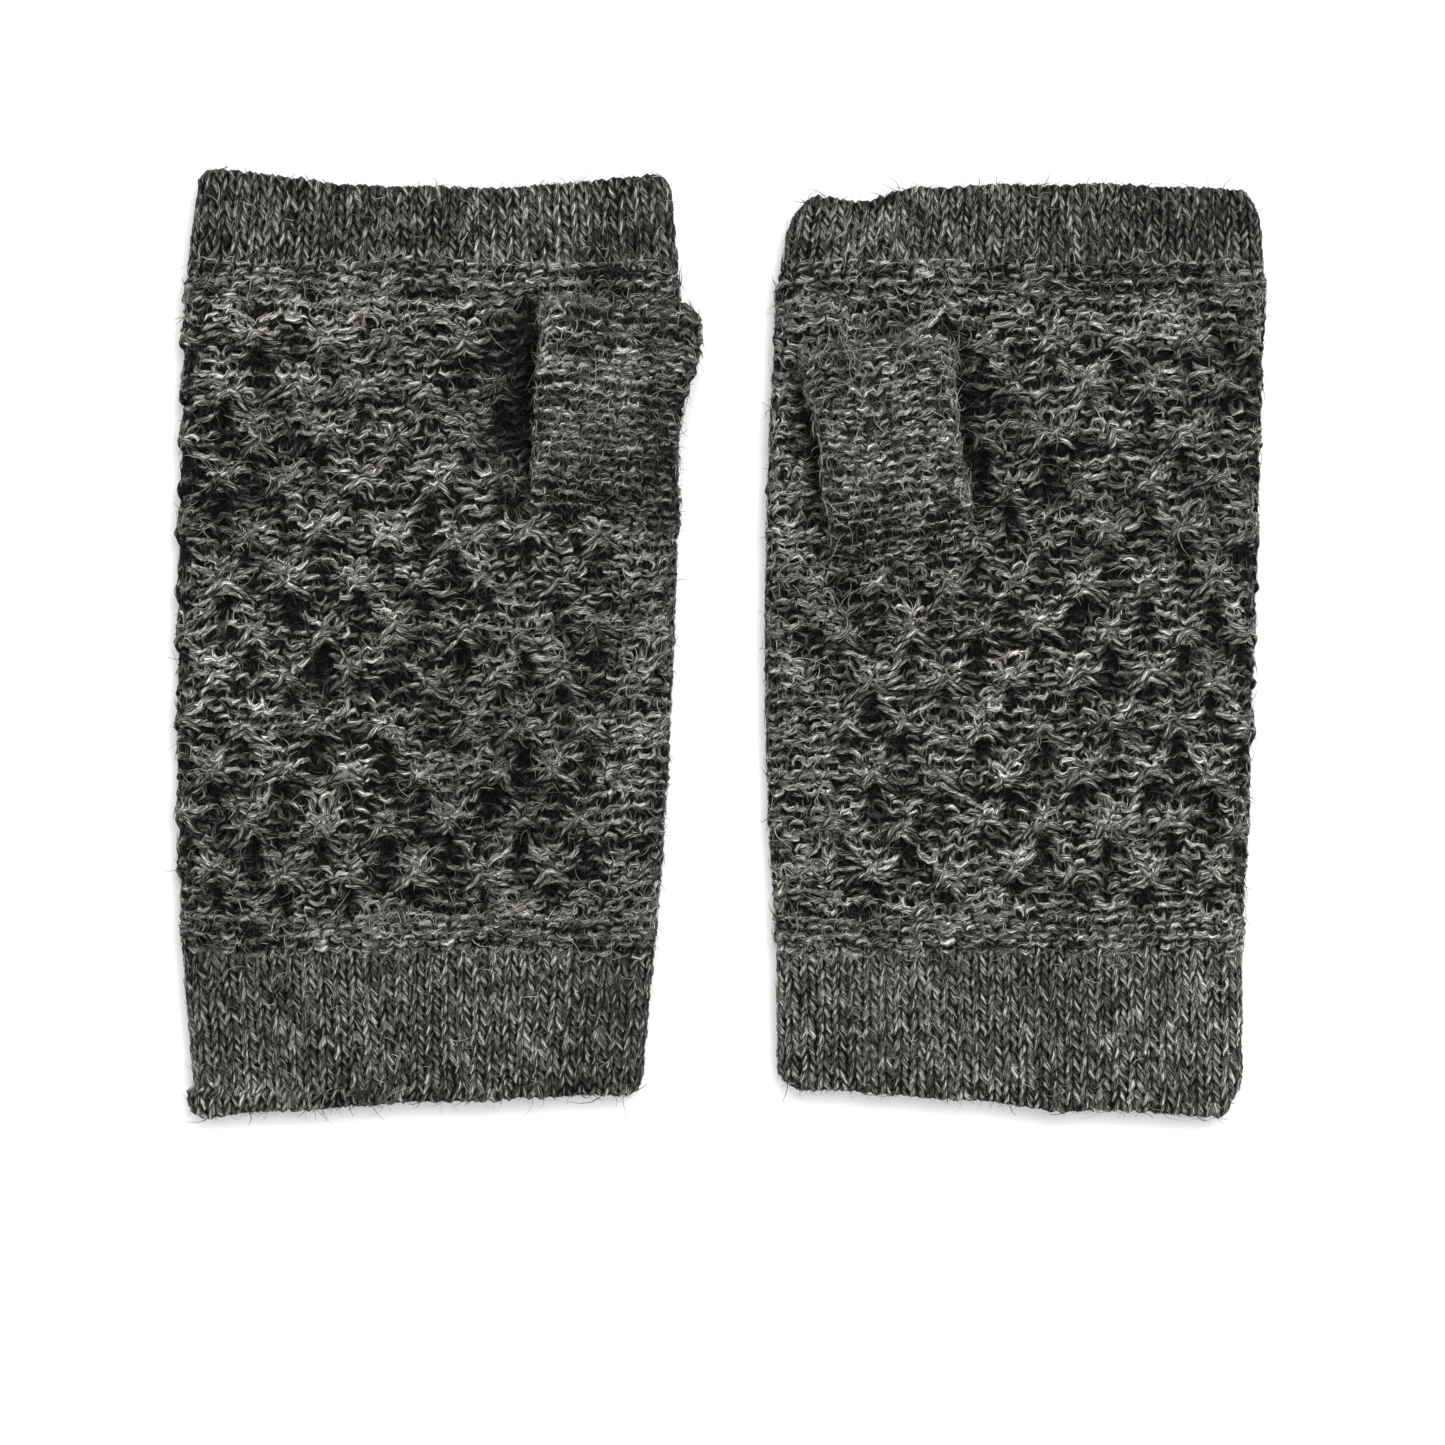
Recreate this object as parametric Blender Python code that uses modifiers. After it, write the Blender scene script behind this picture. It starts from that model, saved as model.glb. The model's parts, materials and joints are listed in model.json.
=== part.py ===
"""A pair of knitted fingerless gloves, lying flat with their palms up.

Metres, +Z up. +Y points to the fingers, and +X runs across the pair. z = 0 is the surface that the
gloves lie on, and the origin is the middle of the pair on it.

Each glove is a flattened tube. A place round it is given by u, its distance from the middle of the
glove towards the thumb side, and by z.
"""

import math

import bpy
from mathutils import Vector

MM = 0.001

# The cloth
GAP = 0.3 * MM  # between pieces that touch
BODY_WALL = 3.2 * MM  # honeycomb knitting
BAND_WALL = 1.5 * MM  # one layer of a folded band
THUMB_WALL = 1.9 * MM

# The flattened tube
BODY_TOP = 12.0 * MM
BAND_TOP = 11.6 * MM
WELT_BULGE = 0.8 * MM  # a welt stands this far out of the hand at its sides and top
WELT_CREST = (0.3, 0.7)  # it does so in full between these shares of its width
ARC_STEPS = 5  # in a quarter turn of the tube's rounded edge
EDGE_FLAT = 1.0 * MM  # the edge runs straight this far each way from its middle
HEM_ROUND = 1.0 * MM  # how far a hem's edge is drawn in
FACING_SETBACK = 2.5 * MM  # the facing stops this far short of the hem
STRIP_WIDTH = 9.0 * MM  # of the thumb-side strip, on each face

# Places along the glove
WRIST_HEM = -95.7 * MM
WRIST_WELT = (-63.0 * MM, -58.6 * MM)
KNUCKLE_WELT = (74.4 * MM, 79.6 * MM)
KNUCKLE_HEM = 98.2 * MM

# Half the width of the hand: (place along the glove, half width)
HAND_OUTLINE = (
    (WRIST_WELT[1], 49.9 * MM),
    (-44.0 * MM, 50.9 * MM),
    (-18.0 * MM, 51.9 * MM),
    (20.0 * MM, 52.5 * MM),
    (KNUCKLE_WELT[0], 52.2 * MM),
)
WRIST_HALF_WIDTHS = (47.4 * MM, 49.3 * MM)  # at the hem, at the welt
KNUCKLE_HALF_WIDTHS = (51.2 * MM, 49.6 * MM)  # at the welt, at the hem

# The thumb, in its own frame: v runs from its root to its tip
THUMB_HEIGHT = 8.8 * MM
THUMB_EDGE = 3.0 * MM  # length of the cast-off edge
JOIN_LENGTH = 8.0 * MM
JOIN_SECTIONS = (  # (share of the join's length, share of the thumb's height, drawn in at each side)
    (0.0, 0.36, 3.0 * MM),
    (0.35, 0.75, 1.2 * MM),
    (0.8, 1.0, 0.0),
    (1.0, 1.0, 0.0),
)
ARCH_ROUNDING = 0.45  # radius of the join's upper corners, as a share of its height
HOLE_SIZE = (19.0 * MM, 7.0 * MM)  # across and along the thumb
HOLE_START = 1.2 * MM  # from the thumb's root
TURN_BACK_CLEARANCE = 3.0 * MM  # the wrist cuff turns about a line this far above it
HINGE_CLEARANCE = 0.15 * MM

# What differs between the two gloves. thumb_side is +1 where the thumb is at +X.
GLOVES = {
    "left": {
        "thumb_side": 1,
        "centre": -62.47 * MM,
        "lean": 0.018,  # sideways per metre along the glove
        "width_share": 1.0,
        "wrist_skew": 2.1 * MM,  # the hem rises this much from the middle to the +X side
        "knuckle_skew": 0.4 * MM,
        "knuckle_hem": KNUCKLE_HEM,
        "thumb_root": Vector((-25.5 * MM, 25.8 * MM)),
        "thumb_lean": math.radians(4.9),  # clockwise, seen from above
        "thumb_half_width": 16.2 * MM,
        "thumb_length": 45.6 * MM,
        "hole_shift": -3.0 * MM,
    },
    "right": {
        "thumb_side": -1,
        "centre": 62.13 * MM,
        "lean": 0.011,
        "width_share": 0.985,
        "wrist_skew": -2.9 * MM,
        "knuckle_skew": 0.7 * MM,
        "knuckle_hem": KNUCKLE_HEM - 1.9 * MM,
        "thumb_root": Vector((37.7 * MM, 19.5 * MM)),
        "thumb_lean": math.radians(-6.5),
        "thumb_half_width": 15.6 * MM,
        "thumb_length": 43.6 * MM,
        "hole_shift": 0.0,
    },
}

COLOURS = {
    "band_wool": (0.095, 0.095, 0.088, 1),
    "hand_wool": (0.075, 0.075, 0.069, 1),
    "thumb_wool": (0.080, 0.080, 0.074, 1),
    "welt_wool": (0.082, 0.082, 0.076, 1),
}
WOOL_ROUGHNESS = 0.92
SHARP_ANGLE = math.radians(50)  # edges that turn more than this are not smoothed


def clear_scene():
    for obj in list(bpy.data.objects):
        bpy.data.objects.remove(obj)


def new_collection(name):
    collection = bpy.data.collections.new(name)
    bpy.context.scene.collection.children.link(collection)
    return collection


def wool(name):
    """The Principled BSDF of one part's yarn."""
    material = bpy.data.materials.new(name)
    material.use_nodes = True
    shader = material.node_tree.nodes["Principled BSDF"]
    shader.inputs["Base Color"].default_value = COLOURS[name]
    shader.inputs["Roughness"].default_value = WOOL_ROUGHNESS
    shader.inputs["Metallic"].default_value = 0
    return material


def arc(centre_u, centre_z, radius, start, end, steps):
    """Points on an arc in the (u, z) plane, with its angles in degrees from +u towards +Z."""
    angles = [math.radians(start + (end - start) * i / steps) for i in range(steps + 1)]
    return [(centre_u + radius * math.cos(a), centre_z + radius * math.sin(a)) for a in angles]


def edge_outline(half_width, low, high, side):
    """A rounded edge of the flattened tube as two lists, below and above its middle.

    Both run from the lower face to the upper one. side is +1 at the thumb and -1 at the little finger.
    """
    radius = (high - low) / 2 - EDGE_FLAT
    flat = half_width - radius
    lower = arc(flat, low + radius, radius, -90, 0, ARC_STEPS)
    upper = arc(flat, high - radius, radius, 0, 90, ARC_STEPS)
    return [(side * u, z) for u, z in lower], [(side * u, z) for u, z in upper]


def ring_outline(half_width, low, high):
    """Round the whole flattened tube."""
    thumb_low, thumb_high = edge_outline(half_width, low, high, 1)
    finger_low, finger_high = edge_outline(half_width, low, high, -1)
    return thumb_low + thumb_high + finger_high[::-1] + finger_low[::-1]


def palm_outline(half_width, low, high):
    """From the side strip across the top and down to the middle of the little-finger edge."""
    upper = edge_outline(half_width, low, high, -1)[1]
    end = (-half_width, (low + high + GAP) / 2)
    return [(half_width - STRIP_WIDTH, high)] + upper[::-1] + [end]


def back_outline(half_width, low, high):
    """From the middle of the little-finger edge down and across the bottom to the side strip."""
    lower = edge_outline(half_width, low, high, -1)[0]
    start = (-half_width, (low + high - GAP) / 2)
    return [start] + lower[::-1] + [(half_width - STRIP_WIDTH, low)]


def strip_outline(half_width, low, high):
    """Round the thumb-side edge."""
    lower, upper = edge_outline(half_width, low, high, 1)
    start = half_width - STRIP_WIDTH + GAP
    return [(start, low)] + lower + upper + [(start, high)]


def arch_outline(half_width, low, high):
    """Over the top of a low tunnel, from one foot to the other."""
    radius = (high - low) * ARCH_ROUNDING
    right = arc(half_width - radius, high - radius, radius, 0, 90, ARC_STEPS)
    left = arc(radius - half_width, high - radius, radius, 90, 180, ARC_STEPS)
    return [(half_width, low)] + right + left + [(-half_width, low)]


def loft(sections, closed, flip):
    """The surface through sections with the same number of points, facing outwards."""
    count = len(sections[0])
    points = [point for section in sections for point in section]
    faces = []
    for row in range(len(sections) - 1):
        for i in range(count if closed else count - 1):
            a, b = row * count + i, row * count + (i + 1) % count
            face = (a, a + count, b + count, b)
            faces.append(face[::-1] if flip else face)
    return points, faces


def add_shell(name, sections, wall, material, collection, closed=True, flip=False, hinge=None):
    """A wall of cloth inside the lofted surface. Its mesh is held in the frame of its hinge."""
    points, faces = loft(sections, closed, flip)
    mesh = bpy.data.meshes.new(name)
    mesh.from_pydata(points, [], faces)
    mesh.materials.append(material)
    mesh.shade_smooth()
    mesh.set_sharp_from_angle(angle=SHARP_ANGLE)
    obj = bpy.data.objects.new(name, mesh)
    collection.objects.link(obj)
    thickness = obj.modifiers.new("wall", "SOLIDIFY")
    thickness.thickness = wall
    thickness.offset = -1
    thickness.use_even_offset = True
    obj.parent = hinge
    return obj


def add_hinge(name, place, collection, turn=0.0, parent=None):
    """An empty on a joint's axis, which runs along the empty's X."""
    hinge = bpy.data.objects.new(name, None)
    hinge.location = place - (parent.location if parent else Vector())
    hinge.rotation_euler = (0, 0, turn)
    hinge.parent = parent
    collection.objects.link(hinge)
    return hinge


def middle_at(glove, y):
    """X of the glove's middle line."""
    return glove["centre"] + glove["lean"] * y


def glove_section(glove, outline, y, half_width, low, high, skew=0.0, origin=Vector()):
    """One outline placed across the glove at y, about origin."""
    half_width = half_width * glove["width_share"]
    points = []
    for u, z in outline(half_width, low, high):
        across = glove["thumb_side"] * u
        place = Vector((middle_at(glove, y) + across, y + skew * across / half_width, z))
        points.append(place - origin)
    return points


def build_hand(side, glove, wools, collection, lift):
    """Palm, back and side strip of the hand, between the two welts."""
    origin = lift.location if lift else Vector()
    outline = [list(place) for place in HAND_OUTLINE]
    outline[0][0] += GAP
    outline[-1][0] -= GAP
    shapes = {"palm": palm_outline, "back": back_outline, "side_strip": strip_outline}
    made = {}
    for part, shape in shapes.items():
        sections = [
            glove_section(glove, shape, y, half, 0, BODY_TOP, origin=origin) for y, half in outline
        ]
        made[part] = add_shell(
            f"{side}_{part}", sections, BODY_WALL, wools["hand_wool"], collection,
            closed=False, flip=glove["thumb_side"] < 0, hinge=lift,
        )
    return made


def build_welt(side, part, span, half_widths, glove, wools, collection, lift):
    """A raised ridge round the glove, widest in its middle."""
    origin = lift.location if lift else Vector()
    start, end = span
    crest = [start + (end - start) * share for share in WELT_CREST]
    half_there = sum(half_widths) / 2
    places = (
        (start, half_widths[0], 0),
        (crest[0], half_there, WELT_BULGE),
        (crest[1], half_there, WELT_BULGE),
        (end, half_widths[1], 0),
    )
    sections = [
        glove_section(glove, ring_outline, y, half + bulge, 0, BODY_TOP + bulge, origin=origin)
        for y, half, bulge in places
    ]
    add_shell(
        f"{side}_{part}", sections, BODY_WALL, wools["welt_wool"], collection,
        flip=glove["thumb_side"] < 0, hinge=lift,
    )


def build_band(side, names, welt_end, hem, glove, wools, collection, hinge):
    """The two layers of a folded band: the outer one, drawn in at its hem, and the facing inside it.

    welt_end and hem are (place along the glove, half width, skew).
    """
    origin = hinge.matrix_world.translation
    inward = math.copysign(1, welt_end[0] - hem[0])
    layers = (
        # name, inset, where it ends short of the hem, and how far it is drawn in there
        (names[0], 0.0, ((0.0, HEM_ROUND), (HEM_ROUND, 0.0))),
        (names[1], BAND_WALL + GAP, ((FACING_SETBACK, 0.0),)),
    )
    for name, inset, ends in layers:
        places = [(hem[0] + inward * back, hem[1] - drawn, drawn, hem[2]) for back, drawn in ends]
        places.append((welt_end[0], welt_end[1], 0.0, welt_end[2]))
        sections = [
            glove_section(
                glove, ring_outline, y, half - inset, inset + drawn, BAND_TOP - inset - drawn, skew, origin
            )
            for y, half, drawn, skew in sorted(places)
        ]
        add_shell(
            f"{side}_{name}", sections, BAND_WALL, wools["band_wool"], collection,
            flip=glove["thumb_side"] < 0, hinge=hinge,
        )


def thumb_section(outline, v, half_width, low, high):
    return [Vector((u, v, z)) for u, z in outline(half_width, low, high)]


def build_thumb(side, glove, wools, collection, root, hinge):
    """The join over the thumb opening, the tube that lies on the palm, and the tube's edge."""
    half, length = glove["thumb_half_width"], glove["thumb_length"]
    low = BODY_TOP + GAP
    join = [
        thumb_section(arch_outline, JOIN_LENGTH * along, half - drawn, low, low + THUMB_HEIGHT * up)
        for along, up, drawn in JOIN_SECTIONS
    ]
    add_shell(
        f"{side}_thumb_join", join, THUMB_WALL, wools["thumb_wool"], collection,
        closed=False, hinge=root,
    )
    hinge_v = JOIN_LENGTH + HINGE_CLEARANCE
    low -= hinge.matrix_world.translation.z
    spans = {
        "thumb_tube": (JOIN_LENGTH + GAP - hinge_v, length - THUMB_EDGE - GAP - hinge_v),
        "thumb_edge": (length - THUMB_EDGE - hinge_v, length - hinge_v),
    }
    for name, span in spans.items():
        sections = [thumb_section(ring_outline, v, half, low, low + THUMB_HEIGHT) for v in span]
        add_shell(
            f"{side}_{name}", sections, THUMB_WALL, wools["thumb_wool"], collection, hinge=hinge
        )


def cut_thumb_opening(side, glove, palm, cutters):
    """A slot through the palm, under the thumb's join."""
    along = HOLE_START + HOLE_SIZE[1] / 2
    lean = glove["thumb_lean"]
    place = Vector(glove["thumb_root"]) + Vector((math.sin(lean), math.cos(lean))) * along
    bpy.ops.mesh.primitive_cube_add(
        size=1, location=(place.x + glove["hole_shift"], place.y, BODY_TOP - BODY_WALL / 2)
    )
    cutter = bpy.context.object
    cutter.name = f"{side}_thumb_opening_cutter"
    cutter.scale = (*HOLE_SIZE, 2 * BODY_WALL)
    cutter.rotation_euler.z = -lean
    cutter.hide_render = True
    cutter.display_type = "WIRE"
    for collection in list(cutter.users_collection):
        collection.objects.unlink(cutter)
    cutters.objects.link(cutter)
    cut = palm.modifiers.new("thumb_opening", "BOOLEAN")
    cut.operation = "DIFFERENCE"
    cut.solver = "EXACT"
    cut.object = cutter


def build_glove(side, glove, wools, collection, cutters):
    """One glove. The right one hangs on an empty of its own, because it lifts away from the left."""
    lift = None
    if side == "right":
        lift = add_hinge(f"{side}_glove_lift", Vector((glove["centre"], 0, 0)), collection)
    wrist = add_hinge(
        f"{side}_wrist_hinge",
        Vector((middle_at(glove, WRIST_WELT[0]), WRIST_WELT[0], BAND_TOP + TURN_BACK_CLEARANCE)),
        collection, parent=lift,
    )
    knuckle = add_hinge(
        f"{side}_knuckle_hinge",
        Vector((middle_at(glove, KNUCKLE_WELT[1]), KNUCKLE_WELT[1], BODY_TOP + WELT_BULGE)),
        collection, parent=lift,
    )
    lean, root_place = glove["thumb_lean"], glove["thumb_root"].to_3d()
    thumb_root = add_hinge(f"{side}_thumb_root", root_place, collection, -lean, lift)
    hinge_v = JOIN_LENGTH + HINGE_CLEARANCE
    hinge_place = root_place + Vector((math.sin(lean), math.cos(lean), 0)) * hinge_v
    hinge_place.z = BODY_TOP + GAP + THUMB_HEIGHT + HINGE_CLEARANCE
    thumb = add_hinge(f"{side}_thumb_hinge", hinge_place, collection, -lean, lift)
    bpy.context.view_layer.update()

    hand = build_hand(side, glove, wools, collection, lift)
    cut_thumb_opening(side, glove, hand["palm"], cutters)
    wrist_half = (WRIST_HALF_WIDTHS[1], HAND_OUTLINE[0][1])
    knuckle_half = (HAND_OUTLINE[-1][1], KNUCKLE_HALF_WIDTHS[0])
    build_welt(side, "wrist_welt", WRIST_WELT, wrist_half, glove, wools, collection, lift)
    build_welt(side, "knuckle_welt", KNUCKLE_WELT, knuckle_half, glove, wools, collection, lift)
    build_band(
        side, ("wrist_cuff", "wrist_facing"), (WRIST_WELT[0] - GAP, WRIST_HALF_WIDTHS[1], 0.0),
        (WRIST_HEM, WRIST_HALF_WIDTHS[0], glove["wrist_skew"]), glove, wools, collection, wrist,
    )
    build_band(
        side, ("knuckle_band", "knuckle_facing"),
        (KNUCKLE_WELT[1] + GAP, KNUCKLE_HALF_WIDTHS[0], 0.0),
        (glove["knuckle_hem"], KNUCKLE_HALF_WIDTHS[1], glove["knuckle_skew"]),
        glove, wools, collection, knuckle,
    )
    build_thumb(side, glove, wools, collection, thumb_root, thumb)


def main():
    clear_scene()
    collection = new_collection("fingerless_gloves")
    cutters = new_collection("cutters")
    wools = {name: wool(name) for name in COLOURS}
    for side, glove in GLOVES.items():
        build_glove(side, glove, wools, collection, cutters)


main()
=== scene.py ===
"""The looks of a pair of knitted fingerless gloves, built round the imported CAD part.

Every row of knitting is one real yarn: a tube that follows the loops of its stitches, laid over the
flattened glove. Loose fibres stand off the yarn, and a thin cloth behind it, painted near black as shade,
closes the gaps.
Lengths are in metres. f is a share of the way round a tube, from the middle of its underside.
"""

import json
import math

import bpy
import numpy as np
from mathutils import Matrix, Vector


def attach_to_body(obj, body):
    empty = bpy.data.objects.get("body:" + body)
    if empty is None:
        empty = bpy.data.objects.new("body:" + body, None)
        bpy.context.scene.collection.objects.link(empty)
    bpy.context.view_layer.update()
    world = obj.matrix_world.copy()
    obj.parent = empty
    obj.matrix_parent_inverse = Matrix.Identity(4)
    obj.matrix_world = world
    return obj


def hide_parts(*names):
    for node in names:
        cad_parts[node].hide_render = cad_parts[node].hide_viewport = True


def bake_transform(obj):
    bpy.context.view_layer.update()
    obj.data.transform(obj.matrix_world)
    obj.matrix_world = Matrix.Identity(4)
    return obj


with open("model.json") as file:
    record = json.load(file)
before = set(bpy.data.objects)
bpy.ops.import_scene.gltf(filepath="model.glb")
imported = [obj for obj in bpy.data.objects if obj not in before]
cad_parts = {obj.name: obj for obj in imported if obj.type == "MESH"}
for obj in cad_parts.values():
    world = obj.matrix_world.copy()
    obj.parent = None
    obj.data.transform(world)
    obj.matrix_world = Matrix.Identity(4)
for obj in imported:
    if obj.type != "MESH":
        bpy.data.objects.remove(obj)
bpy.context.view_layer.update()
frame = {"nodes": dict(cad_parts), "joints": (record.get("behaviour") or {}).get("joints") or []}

MM = 0.001
TAU = 2 * math.pi
SEED = 7

# Yarn
BAND_YARN = 0.80 * MM  # radius
HAND_YARN = 0.72 * MM
WELT_YARN = 0.84 * MM
THUMB_YARN = 0.66 * MM
YARN_SIDES = 6
SAMPLES = 11  # points along one stitch
PLIES = 2
TWIST = 0.42 / MM  # radians of twist along the yarn
PLY_DEPTH = 0.13  # how far the groove between the plies cuts in, as a share of the radius
SKIN = 1.1 * MM  # the middle of the yarn lies this far inside the CAD piece's outer surface
EDGE_SKIN = 0.4 * MM  # and this far at the glove's two side edges
LOOP_SPREAD = 0.27  # how far a loop's legs lean, in stitches
LOOP_RISE = 1.0  # half the height of a loop, in rows
LEG_LIFT = 0.48 * MM
CLOTH_DEPTH = 1.0 * MM  # the backing cloth lies this far under the yarn
UV_LENGTH = 10 * MM  # of yarn to one unit of its UV map
REST_GAP = 0.15 * MM  # between the lowest yarn and the table

# Lengths once round, roughly, that set how ripples run over the cloth
GIRTH = 220 * MM
THUMB_GIRTH = 80 * MM

# Stitch counts
HAND_STITCHES = 60  # round the glove
HAND_ROWS = 52
BAND_STITCHES = 62
CUFF_ROWS = 15
KNUCKLE_ROWS = 7
WELT_ROWS = 3
THUMB_STITCHES = 21
THUMB_ROWS = 19
JOIN_ROWS = 3  # of them, at the thumb's root
CELL_STITCHES = 4  # the honeycomb repeats after this many stitches and twice as many rows
CELL_ROWS = 4
STRIP_STITCHES = 8

# Honeycomb relief. A knot is where a strand is caught up, at each corner of the cells.
RIDGE_HEIGHT = 0.75 * MM
KNOT_HEIGHT = 1.2 * MM
CELL_DEPTH = 1.5 * MM
PIT_DEPTH = 2.7 * MM
GATHER = (0.62, 0.45)  # how strongly stitches and rows are drawn in to a knot
VALLEY_DEPTH = 1.6 * MM  # how far the palm sinks under the thumb and beside it

# The strands at a knot. The legs of "caught" slant down from it, "under" is a shorter one below it, and
# the legs of "above" slant up. Each has its legs' reach in stitches, their rise in rows, its middle's
# rows past the knot, its radius as a share of the yarn's, its height in mm, and its share of the knots.
STRANDS = {
    "caught": (1.35, -1.45, 0.45, 1.32, 1.2, 1.0),
    "under": (0.95, -1.0, -0.15, 1.1, 0.7, 0.4),
    "above": (0.85, 1.45, 0.15, 1.15, 0.9, 0.5),
}

# Bands
FOLD_RADIUS = 1.3 * MM
FOLD_ROWS = 2
FACING_ROWS = 5

# The stretch of cloth at each joint. It is given with the pieces there, but nothing here bends it.
WRIST_BEND = 25 * MM
KNUCKLE_BEND = 14 * MM
THUMB_BEND = (1 * MM, 15 * MM)  # from its root

# Loose fibres: length, radius, how flat they lie (None where it differs), height of their starts
FIBRES = {
    "fuzz": (2.6 * MM, 0.046 * MM, None, 0.42 * MM),
    "nap": (2.2 * MM, 0.12 * MM, 0.9, 0.60 * MM),
    "hair": (9.5 * MM, 0.065 * MM, 0.8, 0.42 * MM),
}
FUZZ_PER_HAIR = 300
LEAST_HAIRS = 3
TURNED_IN = 0.85  # share of the fibres that point outwards near a side and are turned inwards

rng = np.random.default_rng(SEED)


# ---------------------------------------------------------------- surfaces


def corners(*names):
    """All the points of these CAD nodes."""
    nodes = [frame["nodes"][name].data for name in names]
    return np.array([v.co for mesh in nodes for v in mesh.vertices], float)


def outline(f, half, low, high):
    """Across and up, and the outward direction, at share f round a flattened tube. Its half width and
    its height may differ from point to point."""
    shape = np.broadcast(f, half, high).shape
    f, half, high = (np.broadcast_to(a, shape) for a in (f, half, high))
    radius = (high - low) / 2
    flat, turn = 2 * (half - radius), math.pi * radius
    s = np.mod(f, 1.0) * 2 * (flat + turn)
    starts = [flat / 2, flat / 2 + turn, 1.5 * flat + turn, 1.5 * flat + 2 * turn]
    first = (s - starts[0]) / radius - math.pi / 2
    second = (s - starts[2]) / radius + math.pi / 2
    zones = [s < start for start in starts]
    across = np.select(
        zones,
        [s, flat / 2 + radius * np.cos(first), flat / 2 - (s - starts[1]),
         -flat / 2 + radius * np.cos(second)],
        -flat / 2 + (s - starts[3]),
    )
    out_across = np.select(zones, [0 * s, np.cos(first), 0 * s, np.cos(second)], 0.0)
    out_up = np.select(zones, [0 * s - 1, np.sin(first), 0 * s + 1, np.sin(second)], -1.0)
    return across, low + radius * (1 + out_up), out_across, out_up


def ripples(x, y, seed, shortest, longest, count=9):
    """Smooth irregularity from -1 to 1 or so, as the sum of waves in many directions."""
    wave_rng = np.random.default_rng(seed)
    total = 0 * x
    for _ in range(count):
        angle, phase = wave_rng.uniform(0, TAU, 2)
        length = wave_rng.uniform(shortest, longest)
        total = total + np.sin((x * np.cos(angle) + y * np.sin(angle)) * TAU / length + phase)
    return total / math.sqrt(count)


def settled(points):
    """The knitting's underside, pressed flat where it rests on the table."""
    low, soft = REST_GAP + 0.7 * MM, 0.8 * MM
    z = points[..., 2]
    pressed = low + soft * np.exp((np.minimum(z, low + soft) - low - soft) / soft)
    points[..., 2] = np.where(z < low + soft, pressed, z)
    return points


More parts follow.
